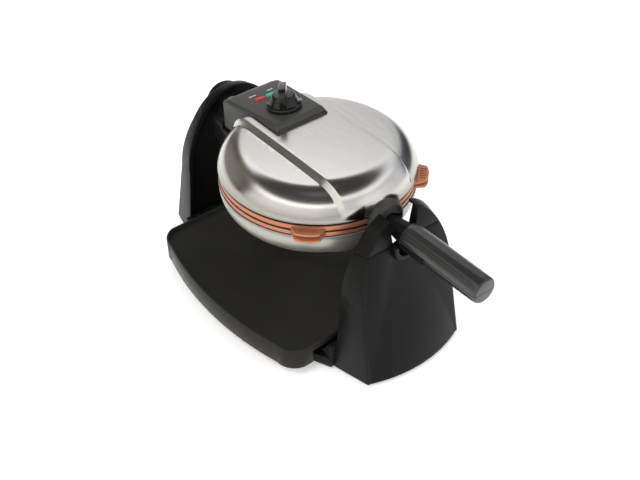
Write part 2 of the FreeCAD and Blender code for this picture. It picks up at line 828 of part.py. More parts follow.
def shells_and_housings():
    """The steel shells, the control housing on the lid and the hinge block under it."""
    outer = dome("shell_outer", "0", "shell_edge")
    inner = dome("shell_inner", "shell_wall", "shell_edge - cut_past")
    shell = cut("shell_form", outer, inner)
    deep = dome("under_outer", "0", "shell_edge", "under_")
    hollow = dome("under_inner", "shell_wall", "shell_edge - cut_past", "under_")
    node(mirror("lower_shell", cut("under_form", deep, hollow), (0, 0, 1), IRON), "lower_shell")
    stem_hole = doc.addObject("Part::Cylinder", "stem_hole")
    bind(stem_hole, Radius="knob_shaft_radius + moving_gap", Height="2 * stem_drop + cut_past")
    tilted(stem_hole, "knob_back", "-2 * stem_drop")
    node(cut("lid_shell", shell, stem_hole), "lid_shell")
    below = ("0", "0", "-shell_edge")
    edge = cylinder("grid_room", "shell_radius + seat_gap", "2 * shell_edge", below, frame=IRON)
    owner = body("housing_side")
    side = [
        ("-housing_back", "housing_bottom"),
        ("-housing_back", "housing_shoulder"),
        ("-housing_ridge_back", "housing_back_height"),
        ("-housing_front", "housing_front_height"),
        ("-(housing_front - housing_front_bevel)", "housing_front_height - housing_bevel"),
        ("-(housing_front - housing_front_bevel)", "housing_bottom"),
    ]
    pad(owner, outline(owner, "housing_profile", "XZ_Plane", side), "2 * housing_half", symmetric=True)
    place(owner, TABLE, IRON)
    ends = body("housing_end")
    end = both_sides([
        ("housing_half", "housing_bottom"),
        ("housing_half", "housing_edge_height"),
        ("housing_half - housing_bevel", "housing_crest_height"),
    ])
    pad(ends, outline(ends, "housing_end_profile", "YZ_Plane", end), "3 * housing_back", symmetric=True)
    place(ends, TABLE, IRON)
    slots = []
    room = "ear_width + 2 * moving_gap"
    length = "hinge_block_back - hinge_back + knuckle_radius + ear_gap"
    for name, low in (("slot_back", "knuckle_half"), ("slot_front", f"-(knuckle_half + {room})")):
        size = (length, room, "hinge_rise + knuckle_radius + ear_gap")
        slots.append(box(name, ("-hinge_block_back", low, "0"), size, IRON))
    pin_half = "(knuckle_half + moving_gap + ear_width + seat_gap)"
    start = ("-hinge_back", "-" + pin_half, "hinge_rise")
    pin_room = cylinder("pin_room", "hinge_pin_radius + shaft_fit", "2 * " + pin_half, start, "y", IRON)
    plate = doc.addObject("Part::Box", "panel_plate")
    bind(plate, Length="panel_back - panel_front", Width="2 * panel_half", Height="panel_thick")
    tilted(plate, "panel_back", "-panel_thick", "-panel_half")
    rounded = body("housing_plan")
    front = "-(housing_front - housing_front_bevel)"
    corner = "(housing_half - housing_corner)"
    pad(rounded, outline(rounded, "housing_plan_round", "XY_Plane", [
        ("-(housing_back - housing_corner)", "-housing_half"),
        (front + " - housing_corner", "-housing_half", "housing_corner", -1),
        (front, "-" + corner),
        (front, corner, "housing_corner", -1),
        (front + " - housing_corner", "housing_half"),
        ("-(housing_back - housing_corner)", "housing_half", "housing_corner", -1),
        ("-housing_back", corner),
        ("-housing_back", "-" + corner, "housing_corner", -1),
    ]), "housing_crest_height")
    place(rounded, TABLE, IRON)
    whole = common("housing_whole", owner, ends, rounded)
    lid_room = fuse("lid_room", outer, edge)
    node(cut("control_housing", whole, lid_room, *slots, pin_room, plate, stem_hole), "control_housing")
    lights = []
    for name, middle in (("power_light", "-light_apart"), ("ready_light", "light_apart")):
        light = doc.addObject("Part::Box", name)
        bind(light, Length="2 * light_half_width", Width="2 * light_half", Height="panel_thick + light_proud")
        tilted(light, "(light_back + light_half_width)", "-panel_thick", middle + " - light_half")
        lights.append(node(light, name))
    node(cut("control_panel", plate, stem_hole, *lights), "control_panel")
    return outer, mirror("shell_under", deep, (0, 0, 1), IRON), edge


def hinge_block(under, edge):
    """The block under the control housing: it carries the flip pivot and the ears of the lid's hinge."""
    owner = body("block_side")
    side = [
        ("-hinge_block_back", "hinge_block_top"),
        ("-hinge_block_back", "-hinge_block_chin"),
        ("-housing_back", "-hinge_block_depth"),
        ("-hinge_block_front", "-hinge_block_depth"),
        ("-hinge_block_front", "-parting_gap"),
        ("-(housing_back + hinge_block_gap)", "-parting_gap"),
        ("-(housing_back + hinge_block_gap)", "hinge_block_top"),
    ]
    pad(owner, outline(owner, "block_profile", "XZ_Plane", side), "2 * housing_half", symmetric=True)
    place(owner, TABLE, IRON)
    pieces = [owner]
    half = "(knuckle_half + moving_gap + ear_width)"
    for name, low in (("ear_back", "knuckle_half + moving_gap"), ("ear_front", "-" + half)):
        corner = ("-(hinge_back + knuckle_radius)", low, "-ear_root")
        leg = box(name + "_leg", corner, ("2 * knuckle_radius", "ear_width", "hinge_rise + ear_root"), IRON)
        start = ("-hinge_back", low, "hinge_rise")
        pieces += [leg, cylinder(name + "_head", "knuckle_radius", "ear_width", start, "y", IRON)]
    start = ("-hinge_back", "-" + half, "hinge_rise")
    pin = node(cylinder("hinge_pin", "hinge_pin_radius", "2 * " + half, start, "y", IRON), "hinge_pin")
    face = crown_skin("axis_height")
    start = f"-{face} - iron_offset"
    shaft = cylinder(
        "pivot_shaft",
        "pivot_radius",
        f"{face} + iron_offset - hinge_block_back + pivot_seat",
        (start, "0", "0"),
        "x",
        IRON,
    )
    node(shaft, "pivot_shaft")
    node(cut("hinge_block", fuse("block_whole", *pieces), under, edge, pin, shaft), "hinge_block")


def knob_and_thermostat():
    """The browning knob with its stem, and the thermostat that it turns."""
    owner = body("knob_form")
    turned = [
        ("0", "0"),
        ("knob_radius", "0"),
        ("knob_radius", "knob_skirt_edge"),
        ("knob_hub_foot", "knob_skirt"),
        ("knob_hub_radius", "knob_hub_height"),
        ("0", "knob_hub_height"),
    ]
    revolve(owner, outline(owner, "knob_side", "XZ_Plane", turned))
    fin = outline(owner, "knob_fin", "XZ_Plane", [
        ("-knob_hub_radius", "knob_skirt"),
        ("knob_fin_reach", "knob_skirt"),
        ("knob_fin_reach", "knob_fin_height - knob_fin_bevel"),
        ("knob_fin_reach - knob_fin_bevel", "knob_fin_height"),
        ("-(knob_hub_radius - knob_fin_bevel)", "knob_fin_height - knob_fin_fall"),
    ])
    fin.AttachmentOffset = FreeCAD.Placement(FreeCAD.Vector(), FreeCAD.Rotation(FreeCAD.Vector(0, -1, 0), 1))
    bind(fin, AttachmentOffset__Rotation__Angle="knob_angle")
    pad(owner, fin, "2 * knob_fin_half", symmetric=True)
    tilted(owner, "knob_back", "moving_gap")
    stem = doc.addObject("Part::Cylinder", "knob_stem")
    bind(stem, Radius="knob_shaft_radius", Height="stem_drop + stem_rise")
    tilted(stem, "knob_back", "-stem_drop")
    node(stem, "knob_stem")
    node(cut("knob", owner, stem), "knob")
    case = doc.addObject("Part::Cylinder", "thermostat_case")
    bind(case, Radius="thermostat_radius", Height="thermostat_height")
    drop = f"{level('knob_back')} - band_height + shell_wall + thermostat_radius * {SLOPE} + seat_gap"
    tilted(case, "knob_back", f"-({drop}) - thermostat_height")
    bore = doc.addObject("Part::Cylinder", "thermostat_bore")
    bind(bore, Radius="knob_shaft_radius + shaft_fit", Height="stem_drop")
    tilted(bore, "knob_back", "-(stem_drop + moving_gap)")
    node(cut("thermostat", case, bore), "thermostat")


def half_turned(name, profile, below=False):
    """Half of a turned piece whose axis is the flip axis, above or below the parting plane."""
    owner = body(name)
    revolve(owner, outline(owner, name + "_side", "XY_Plane", profile), "H_Axis", 180.0, below)
    return place(owner, ("0", "0", "-parting_gap" if below else "parting_gap"), IRON)


def handle(outer, under, edge):
    """The split collar and neck, and the grip whose lower front part stays with the lower half."""
    for name, below, shell in (("collar_upper", False, outer), ("collar_lower", True, under)):
        ring = half_turned(name + "_form", [
            ("collar_back", "neck_radius"),
            ("collar_front", "neck_radius"),
            ("collar_front", "collar_radius - collar_bevel"),
            ("collar_front - collar_bevel", "collar_radius"),
            ("collar_back", "collar_radius"),
        ], below)
        node(cut(name, ring, shell, edge), name)
    start = "shell_radius + seat_gap"
    flared = [
        (start, "0"),
        (start, "neck_radius"),
        ("neck_bend", "neck_radius"),
        ("neck_flare", "neck_flare_radius"),
        ("grip_start", "neck_mouth_radius"),
    ]
    neck = half_turned("neck_form", [
        *flared,
        ("grip_start", "tang_radius"),
        ("tang_end", "tang_radius"),
        ("tang_end", "0"),
    ])
    node(cut("upper_neck_seated", neck, edge), "upper_neck")
    node(half_turned("lower_handle", [
        *flared,
        ("grip_start", "grip_radius"),
        ("grip_split", "grip_radius"),
        ("grip_split", "0"),
    ], True), "lower_handle")
    bore = "tang_radius + seat_gap"
    bend = ("grip_end - grip_round", "grip_tip_radius", "grip_round", 1)
    tip = [bend, ("grip_end", "grip_tip_radius - grip_round")]
    node(half_turned("grip_upper", [
        ("grip_start + seat_gap", bore),
        ("grip_start + seat_gap", "grip_radius"),
        *tip,
        ("grip_end", "0"),
        ("tang_end + seat_gap", "0"),
        ("tang_end + seat_gap", bore),
    ]), "grip_upper")
    lower = half_turned("grip_lower", [
        ("grip_split + moving_gap", "0"),
        ("grip_split + moving_gap", "grip_radius"),
        *tip,
        ("grip_end", "0"),
    ], True)
    place(lower, ("0", "0", "parting_gap"), IRON)
    node(lower, "grip_lower")


def check_and_write():
    doc.recompute()
    for thing in doc.Objects:
        if "Invalid" in thing.State or "Error" in thing.State:
            raise RuntimeError(f"{thing.Name} failed: {thing.State}")
    for thing in nodes:
        if thing.Shape.isNull() or not thing.Shape.isValid():
            raise RuntimeError(f"{thing.Label} has no valid shape")
    os.makedirs("parts", exist_ok=True)
    for thing in nodes:
        thing.Shape.exportStep(f"parts/{thing.Label}.step")
        print(thing.Label, len(thing.Shape.Solids), round(thing.Shape.Volume), thing.Shape.BoundBox)


def main():
    form, panel = right_tower()
    left_tower(form, panel)
    base_pan()
    drip_tray()
    grids()
    frames_and_heaters()
    outer, under, edge = shells_and_housings()
    hinge_block(under, edge)
    knob_and_thermostat()
    handle(outer, under, edge)
    check_and_write()


main()
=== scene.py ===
"""Looks of a flip waffle maker: a steel iron with copper-coloured grids between two black towers.

Lengths are in metres, or in millimetres where a name ends in mm, in the model's own frame: +Z up, the handle
along +X and the tray's front towards -Y.
"""
import json
import math
import bpy
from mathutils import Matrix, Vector


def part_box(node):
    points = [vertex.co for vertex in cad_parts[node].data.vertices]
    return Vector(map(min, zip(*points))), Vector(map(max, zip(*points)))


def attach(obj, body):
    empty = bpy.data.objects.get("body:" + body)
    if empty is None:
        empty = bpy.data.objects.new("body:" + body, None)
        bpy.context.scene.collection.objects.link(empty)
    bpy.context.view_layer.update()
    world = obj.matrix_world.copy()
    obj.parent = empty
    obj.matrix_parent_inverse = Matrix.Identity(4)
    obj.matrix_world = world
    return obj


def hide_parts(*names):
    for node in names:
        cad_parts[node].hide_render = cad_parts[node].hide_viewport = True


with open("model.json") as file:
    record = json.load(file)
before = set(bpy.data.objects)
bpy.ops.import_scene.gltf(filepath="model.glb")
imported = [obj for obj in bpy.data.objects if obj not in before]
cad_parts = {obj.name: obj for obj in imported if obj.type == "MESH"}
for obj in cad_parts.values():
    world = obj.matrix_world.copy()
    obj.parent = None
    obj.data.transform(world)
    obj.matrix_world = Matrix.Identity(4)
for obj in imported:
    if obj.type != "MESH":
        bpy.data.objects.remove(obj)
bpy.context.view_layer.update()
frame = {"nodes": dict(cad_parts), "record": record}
nodes = frame["nodes"]
body_of = {name: body for body, names in frame["record"]["behaviour"]["bodies"].items() for name in names}
slot_of = {part["node"]: part["material_slot"] for part in frame["record"]["subparts"]}

# Materials

GRAIN_HEIGHT = 0.0002


class Recipe:
    """The nodes of a material or of the world, and the shader that they feed."""

    def __init__(self, owner, shader):
        owner.use_nodes = True
        self.owner = owner
        self.tree = owner.node_tree
        self.link = self.tree.links.new
        self.shader = self.tree.nodes[shader]

    def add(self, kind, **values):
        """A new node with its settings and the values of its sockets."""
        node = self.tree.nodes.new("ShaderNode" + kind)
        for key, value in values.items():
            if hasattr(node, key):
                setattr(node, key, value)
            else:
                node.inputs[key.replace("_", " ")].default_value = value
        return node

    def fix(self, **values):
        """Gives the shader's sockets plain values."""
        for key, value in values.items():
            self.shader.inputs[key.replace("_", " ")].default_value = value

    def feed(self, socket, source):
        """Leads a node's output into one of the shader's sockets."""
        self.link(source, self.shader.inputs[socket])

    def pattern(self, kind, output, stretch=(1, 1, 1), **values):
        """A texture on object coordinates that are stretched by a scale for each axis."""
        place = self.add("TexCoord")
        mapping = self.add("Mapping", Scale=stretch)
        texture = self.add("Tex" + kind, **values)
        self.link(place.outputs["Object"], mapping.inputs["Vector"])
        self.link(mapping.outputs["Vector"], texture.inputs["Vector"])
        return texture.outputs[output]

    def height(self):
        """The height above the table, at rest."""
        place = self.add("TexCoord")
        split = self.add("SeparateXYZ")
        self.link(place.outputs["Object"], split.inputs["Vector"])
        return split.outputs["Z"]

    def ramp(self, source, low, high, start=0.0, end=1.0):
        """A number spread between two values."""
        spread = self.add("MapRange", From_Min=start, From_Max=end, To_Min=low, To_Max=high)
        self.link(source, spread.inputs["Value"])
        return spread.outputs["Result"]

    def mix(self, share, first, second, **values):
        """A mix of two colours, each of them fixed or from another node."""
        blend = self.add("Mix", data_type="RGBA", **values)
        sockets = [socket for socket in blend.inputs if socket.type == "RGBA"]
        for socket, colour in zip(sockets, (first, second)):
            if isinstance(colour, tuple):
                socket.default_value = (*colour, 1)
            else:
                self.link(colour, socket)
        self.link(share, blend.inputs["Factor"])
        return next(socket for socket in blend.outputs if socket.type == "RGBA")

    def bump(self, source, strength):
        """Fine relief on the surface."""
        dent = self.add("Bump", Strength=strength, Distance=GRAIN_HEIGHT)
        self.link(source, dent.inputs["Height"])
        self.feed("Normal", dent.outputs["Normal"])


def new_finish(name):
    """The recipe of a new material."""
    return Recipe(bpy.data.materials.new(name), "Principled BSDF")


# Each colour is a pair, dark and light, between which a finish drifts
BLACK = (0.005, 0.005, 0.0049), (0.0075, 0.0075, 0.0072)
CHARCOAL = (0.017, 0.017, 0.0175), (0.023, 0.023, 0.0235)
TRAY_BLACK = (0.022, 0.0215, 0.02), (0.028, 0.0275, 0.026)
GREY = (0.032, 0.032, 0.031), (0.04, 0.04, 0.0385)
ENAMEL = (0.004, 0.004, 0.004), (0.006, 0.006, 0.006)
RUBBER = (0.01, 0.01, 0.01), (0.016, 0.016, 0.016)
PALE = (0.5, 0.5, 0.47), (0.6, 0.6, 0.57)
STEEL = (0.62, 0.61, 0.59), (0.8, 0.79, 0.77)
# Painted shade and reflection: a darker, warmer copy of the steel for the lower shell, which is one steel
# with the lid
UNDERSIDE_SHADED_STEEL = (0.39, 0.375, 0.34), (0.49, 0.475, 0.435)
SHAFT = (0.5, 0.5, 0.5), (0.62, 0.62, 0.62)
SHEATH = (0.16, 0.16, 0.16), (0.24, 0.24, 0.24)
COPPER = (0.45, 0.165, 0.085), (0.56, 0.235, 0.13)
RED = (0.38, 0.008, 0.01), (0.55, 0.02, 0.022)
GREEN = (0.01, 0.28, 0.24), (0.025, 0.42, 0.37)

PLASTIC_GRAIN = 2600.0
PLASTIC_RELIEF = 0.06
PLASTIC_DRIFT = 28.0
PLASTIC_SHEEN = -0.04, 0.05
METAL_SHEEN = -0.06, 0.08
LINES_ALONG_X = (40, 1800, 1800)
RINGS_ROUND_X = (1800, 90, 90)
SPECKLES = (300, 300, 300)
# Painted shade on the lid's steel towards its rim, and the heights over which it fades in
RIM_PAINTED_SHADE = (0.5, 0.485, 0.45)
LID_RIM_SHADE_HEIGHTS = 0.163, 0.174
COPPER_FLAKES = 1500.0
COPPER_RELIEF = 0.05
COPPER_DRIFT = 35.0
COPPER_METALLIC = 0.55
COPPER_ROUGHNESS = 0.3, 0.44
LENS_RIBS = 160.0
LENS_ROUGHNESS = 0.3
LENS_SHINE = 0.3


def moulded_plastic(name, dark, light, roughness, shine=0.3):
    """Plastic with a fine spark-eroded grain and a slow drift in its colour and sheen."""
    recipe = new_finish(name)
    grain = recipe.pattern("Noise", "Fac", Scale=PLASTIC_GRAIN, Detail=3.0)
    drift = recipe.pattern("Noise", "Fac", Scale=PLASTIC_DRIFT, Detail=2.0)
    recipe.fix(Specular_IOR_Level=shine)
    recipe.feed("Base Color", recipe.mix(drift, dark, light))
    recipe.feed("Roughness", recipe.ramp(drift, *(roughness + change for change in PLASTIC_SHEEN)))
    recipe.bump(grain, PLASTIC_RELIEF)
    return recipe.owner


def brushed_metal(name, dark, light, roughness, lines, metallic=1.0, relief=0.05, rim=None):
    """Metal with fine brush lines, and with painted shade that darkens its colour towards a rim if the
    heights of its fade are given.
    """
    recipe = new_finish(name)
    streaks = recipe.pattern("Noise", "Fac", lines, Scale=1.0, Detail=4.0)
    colour = recipe.mix(streaks, dark, light)
    if rim:
        # Painted shade: the colour is multiplied darker towards the rim, below the given heights
        painted_rim_shade = recipe.ramp(recipe.height(), 1.0, 0.0, *rim)
        colour = recipe.mix(painted_rim_shade, colour, RIM_PAINTED_SHADE, blend_type="MULTIPLY")
    recipe.fix(Metallic=metallic)
    recipe.feed("Base Color", colour)
    recipe.feed("Roughness", recipe.ramp(streaks, *(roughness + change for change in METAL_SHEEN)))
    recipe.bump(streaks, relief)
    return recipe.owner


def coated_copper(name, dark, light):
    """The grids' copper-coloured non-stick coat, with metal flakes in it."""
    recipe = new_finish(name)
    flakes = recipe.pattern("Voronoi", "Distance", Scale=COPPER_FLAKES)
    drift = recipe.pattern("Noise", "Fac", Scale=COPPER_DRIFT, Detail=3.0)
    recipe.fix(Metallic=COPPER_METALLIC)
    recipe.feed("Base Color", recipe.mix(drift, dark, light))
    recipe.feed("Roughness", recipe.ramp(flakes, *COPPER_ROUGHNESS))
    recipe.bump(flakes, COPPER_RELIEF)
    return recipe.owner


def tinted_lens(name, dark, light):
    """A coloured lens with fine ribs behind its face."""
    recipe = new_finish(name)
    ribs = recipe.pattern("Wave", "Fac", Scale=LENS_RIBS, bands_direction="Y")
    recipe.fix(Roughness=LENS_ROUGHNESS, Specular_IOR_Level=LENS_SHINE)
    recipe.feed("Base Color", recipe.mix(ribs, dark, light))
    return recipe.owner


finishes = {
    "black_plastic": moulded_plastic("black_satin_plastic", *BLACK, roughness=0.38, shine=0.12),
    "grip_plastic": moulded_plastic("handle_plastic", *CHARCOAL, roughness=0.24, shine=0.7),
    "tray_plastic": moulded_plastic("tray_plastic", *TRAY_BLACK, roughness=0.24, shine=0.06),
    "knob_plastic": moulded_plastic("knob_gloss_plastic", *BLACK, roughness=0.16, shine=0.4),
    "brushed_steel": brushed_metal(
        "brushed_steel", *STEEL, roughness=0.19, lines=LINES_ALONG_X, relief=0.1, rim=LID_RIM_SHADE_HEIGHTS
    ),
    "copper_coating": coated_copper("copper_non_stick", *COPPER),
    "frame_enamel": moulded_plastic("dark_enamel", *ENAMEL, roughness=0.5, shine=0.2),
    "heater_sheath": brushed_metal("heater_sheath", *SHEATH, roughness=0.5, lines=SPECKLES),
    "shaft_steel": brushed_metal("turned_steel", *SHAFT, roughness=0.3, lines=RINGS_ROUND_X),
    "bush_plastic": moulded_plastic("pale_bush_plastic", *PALE, roughness=0.4),
    "foot_rubber": moulded_plastic("foot_rubber", *RUBBER, roughness=0.75),
    "red_lens": tinted_lens("red_lens", *RED),
    "green_lens": tinted_lens("green_lens", *GREEN),
}
housing_grey = moulded_plastic("housing_satin_plastic", *GREY, roughness=0.46, shine=0.4)
own_finishes = {
    "control_housing": housing_grey,
    "control_panel": housing_grey,
    # Painted light: the collars are black plastic, and the lighter housing grey on them stands for their lit
    # faces
    "collar_upper": housing_grey,
    "collar_lower": housing_grey,
    # Painted shade and reflection: the lower shell gets its own darker, warmer, partly metallic copy of the
    # steel
    "lower_shell": brushed_metal(
        "underside_shaded_steel", *UNDERSIDE_SHADED_STEEL, roughness=0.34, lines=LINES_ALONG_X, metallic=0.7
    ),
}


def finish_of(node):
    """A node's own finish, or else that of its slot."""
    return own_finishes.get(node, finishes[slot_of[node]])


for name, node in nodes.items():
    node.data.materials.clear()
    node.data.materials.append(finish_of(name))

# Modelling

MILLI = 0.001
MERGE = 1e-6
FLAT = math.radians(0.5)
SHARP = math.radians(32)
ROUND_STEPS = 2


def rest():
    """Leaves edit mode, with nothing selected."""
    if bpy.context.object and bpy.context.object.mode != "OBJECT":
        bpy.ops.object.mode_set(mode="OBJECT")
    bpy.ops.object.select_all(action="DESELECT")


def pick(piece):
    """Makes a piece the only selected one."""
    rest()
    piece.select_set(True)
    bpy.context.view_layer.objects.active = piece


def edit(piece, kind="VERT"):
    """Opens a piece for editing with all of it selected."""
    pick(piece)
    bpy.ops.object.mode_set(mode="EDIT")
    bpy.ops.mesh.select_mode(type=kind)
    bpy.ops.mesh.select_all(action="SELECT")


def edit_only(piece, kind, wanted):
    """Opens a piece for editing with only the wanted edges or faces selected."""
    edit(piece, kind)
    bpy.ops.mesh.select_all(action="DESELECT")
    bpy.ops.object.mode_set(mode="OBJECT")
    parts = piece.data.polygons if kind == "FACE" else piece.data.edges
    for part in parts:
        part.select = wanted(part)
    bpy.ops.object.mode_set(mode="EDIT")


def face_outwards():
    """Turns all faces of the open piece outwards, and leaves them selected."""
    bpy.ops.mesh.select_all(action="SELECT")
    bpy.ops.mesh.normals_make_consistent(inside=False)


def apply(piece, kind, **values):
    """Adds a modifier, sets it up and applies it."""
    pick(piece)
    step = piece.modifiers.new(kind.lower(), kind)
    for key, value in values.items():
        setattr(step, key, value)
    bpy.ops.object.modifier_apply(modifier=step.name)


def smooth(piece, angle=SHARP):
    """Shades a piece smooth, apart from its sharp edges."""
    pick(piece)
    bpy.ops.object.shade_smooth_by_angle(angle=angle)


def soften(piece, width_mm):
    """Rounds a piece's sharp edges."""
    apply(
        piece,
        "BEVEL",
        width=width_mm * MILLI,
        segments=ROUND_STEPS,
        limit_method="ANGLE",
        angle_limit=SHARP,
        use_clamp_overlap=False,
    )
    smooth(piece)


def copy_of(node, name):
    """A copy of a CAD node with its triangles merged into whole faces."""
    piece = bpy.data.objects.new(name, nodes[node].data.copy())
    bpy.context.scene.collection.objects.link(piece)
    edit(piece)
    bpy.ops.mesh.remove_doubles(threshold=MERGE)
    bpy.ops.mesh.dissolve_limited(angle_limit=FLAT)
    rest()
    return piece


def draw(name, points):
    """A line of edges through points, left open for editing."""
    rest()
    bpy.ops.mesh.primitive_plane_add(size=MILLI, location=points[0])
    piece = bpy.context.object
    piece.name = name
    bpy.ops.object.transform_apply(location=True, rotation=False, scale=False)
    edit(piece)
    bpy.ops.mesh.merge(type="CENTER")
    for here, there in zip(points, points[1:]):
        bpy.ops.mesh.extrude_vertices_move(TRANSFORM_OT_translate={"value": Vector(there) - Vector(here)})
    bpy.ops.mesh.select_all(action="SELECT")
    return piece


def slab(name, centre, along, across, way):
    """A block from the centre of one face, its half length and half width, and the way to the other face."""
    corners = [
        centre - along - across,
        centre + along - across,
        centre + along + across,
        centre - along + across,
    ]
    piece = draw(name, corners)
    bpy.ops.mesh.edge_face_add()
    bpy.ops.mesh.extrude_region_move(TRANSFORM_OT_translate={"value": way})
    face_outwards()
    rest()
    return piece


def dress(piece, finish, body):
    """Gives a new piece its finish and its place in the frame."""
    piece.data.materials.clear()
    piece.data.materials.append(finish)
    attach(piece, body)


def dress_like(piece, node):
    """Gives a new piece a CAD node's finish and body."""
    dress(piece, finish_of(node), body_of[node])


def stand_for(piece, node):
    """Shows a piece in place of a CAD node."""
    dress_like(piece, node)
    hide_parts(node)


# Moulded and cast pieces with their edges rounded

EDGE_ROUNDS_MM = {
    "tower_right": 1.4,
    "tower_left": 1.4,
    "tower_cap_front": 0.9,
    "tower_cap_back": 0.9,
    "saddle": 0.5,
    "liner_left": 0.4,
    "liner_right": 0.4,
    "base_pan": 0.8,
    "feet": 0.6,
    "drip_tray": 0.8,
    "hinge_block": 1.0,
    "collar_upper": 1.0,
    "collar_lower": 1.0,
    "upper_neck": 0.5,
    "lower_handle": 0.5,
    "grip_upper": 0.5,
    "grip_lower": 0.5,
    "pivot_cap": 0.5,
    "cord_gland": 0.4,
    "upper_grid": 0.5,
    "lower_grid": 0.5,
    "knob": 0.9,
    "power_light": 0.7,
    "ready_light": 0.7,
}
SWELL_TOP = Vector((151, 0, 117)) * MILLI
SWELL_TOP_REACH_MM = 9.2
LEDGE_SLACK_MM = 0.05


def press_ledge(piece):
    """Presses the fine ledge on top of the right tower's swelling flat into the tower's face."""
    near = [spot for spot in piece.data.vertices if (spot.co - SWELL_TOP).length < SWELL_TOP_REACH_MM * MILLI]
    ledge = [spot for spot in near if abs(spot.co.z - SWELL_TOP.z) < LEDGE_SLACK_MM * MILLI]
    ledge.sort(key=lambda spot: spot.co.y)
    for spot in ledge:
        spot.co.x = ledge[0].co.x
    ends = {spot.index for spot in ledge[:1] + ledge[-1:]}
    edit_only(piece, "EDGE", lambda line: set(line.vertices) == ends)
    bpy.ops.mesh.dissolve_edges(use_verts=False)
    rest()


def round_edges():
    """The moulded and cast pieces, each with its edges rounded by its own width."""
    for node, width in EDGE_ROUNDS_MM.items():
        piece = copy_of(node, node + "_moulding")
        if node == "tower_right":
            press_ledge(piece)
        soften(piece, width)
        stand_for(piece, node)


HOUSING_ROUND_MM = 2.2
HOUSING_ROUND_STEPS = 4
POCKET_ROOM_MM = 0.2


def round_housing():
    """The control housing, closed flush by its panel and rounded all over."""
    piece = copy_of("control_housing", "control_housing_moulding")
    room = Vector((1, 1, 1)) * (POCKET_ROOM_MM * MILLI)
    low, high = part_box("control_panel")
    low -= room
    high += room

    def in_pocket(face):
        """Whether a face belongs to the pocket that the panel lies in."""
        spots = [piece.data.vertices[i].co for i in face.vertices]
        return all(
            low.x < spot.x < high.x and low.y < spot.y < high.y and spot.z > low.z for spot in spots
        )

    edit_only(piece, "FACE", in_pocket)
    bpy.ops.mesh.delete(type="FACE")
    bpy.ops.mesh.select_mode(type="EDGE")
    bpy.ops.mesh.select_all(action="SELECT")
    bpy.ops.mesh.fill_holes(sides=0)
    face_outwards()
    bpy.ops.mesh.dissolve_limited(angle_limit=FLAT)
    bpy.ops.mesh.select_all(action="DESELECT")
    bpy.ops.mesh.edges_select_sharp(sharpness=SHARP)
    bpy.ops.mesh.bevel(
        offset=HOUSING_ROUND_MM * MILLI, segments=HOUSING_ROUND_STEPS, affect="EDGES", clamp_overlap=False
    )
    rest()
    smooth(piece)
    stand_for(piece, "control_housing")
    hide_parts("control_panel")


# Round pieces on the iron's upright axis

IRON = Vector((17, 0, 150)) * MILLI
ROUND_CUTS = 180


def turned(name, profile_mm):
    """A piece turned on the iron's axis, from points given by reach and by level above the parting line."""
    piece = draw(name, [IRON + Vector((reach, 0, level)) * MILLI for reach, level in profile_mm])
    bpy.ops.mesh.spin(steps=ROUND_CUTS, angle=2 * math.pi, center=IRON, axis=(0, 0, 1))
    bpy.ops.mesh.select_all(action="SELECT")
    bpy.ops.mesh.remove_doubles(threshold=MERGE)
    face_outwards()
    rest()
    return piece


# Steel shells

SHELL_RADIUS_MM = 100.0
SHELL_SIDE_MM = 11.0
SHELL_WALL_MM = 1.4
SHELL_SHARP = math.radians(50)
LID_EDGE_MM = 8.8
UNDER_EDGE_MM = 6.6
RIM_ROLL_MM = 0.3
CROWN_MM = 0.8
BEND_STEPS = 26
FLAT_RINGS = 14
STEP_START_MM = 39.0
STEP_END_MM = 44.4
STEP_TOP_SOFT = 0.46
STEP_FOOT_SOFT = 0.14
STEP_CUTS = 18


class Dome:
    """The outside of a round shell in mm: a slightly crowned flat and one bend down to its side."""

    def __init__(self, height, flat):
        self.height = height
        self.flat = flat
        self.run = SHELL_RADIUS_MM - flat
        rise = height - SHELL_SIDE_MM
        self.bend = (self.run**2 + rise**2) / (2 * rise)

    def level(self, reach):
        """The height at a distance from the shell's axis."""
        past = min(max(reach - self.flat, 0), self.run)
        fall = self.bend - math.sqrt(max(self.bend**2 - past**2, 0))
        crown = CROWN_MM * (1 - min(reach / self.flat, 1) ** 2)
        return self.height - fall + crown

    def profile(self):
        """Points from the middle of the flat to the foot of the bend."""
        last = math.asin(min(self.run / self.bend, 1))
        flats = [self.flat * i / FLAT_RINGS for i in range(FLAT_RINGS)]
        bends = [self.flat + self.bend * math.sin(last * i / BEND_STEPS) for i in range(BEND_STEPS + 1)]
        return [(reach, self.level(reach)) for reach in flats + bends]


LID_LOBE = Dome(height=35.0, flat=71.0)
LID_BAND = Dome(height=41.0, flat=70.0)
UNDER_LOBE = Dome(height=41.0, flat=70.0)
UNDER_BAND = Dome(height=44.0, flat=67.0)


def step_share(across):
    """How far the step has dropped at a distance from the band's middle: a slope with a bend at each end."""
    share = min(max((across - STEP_START_MM) / (STEP_END_MM - STEP_START_MM), 0), 1)
    slope = 1 / (1 - (STEP_TOP_SOFT + STEP_FOOT_SOFT) / 2)
    top = min(share, STEP_TOP_SOFT)
    middle = min(max(share - STEP_TOP_SOFT, 0), 1 - STEP_TOP_SOFT - STEP_FOOT_SOFT)
    foot = max(share - (1 - STEP_FOOT_SOFT), 0)
    return slope * (top**2 / (2 * STEP_TOP_SOFT) + middle + foot - foot**2 / (2 * STEP_FOOT_SOFT))


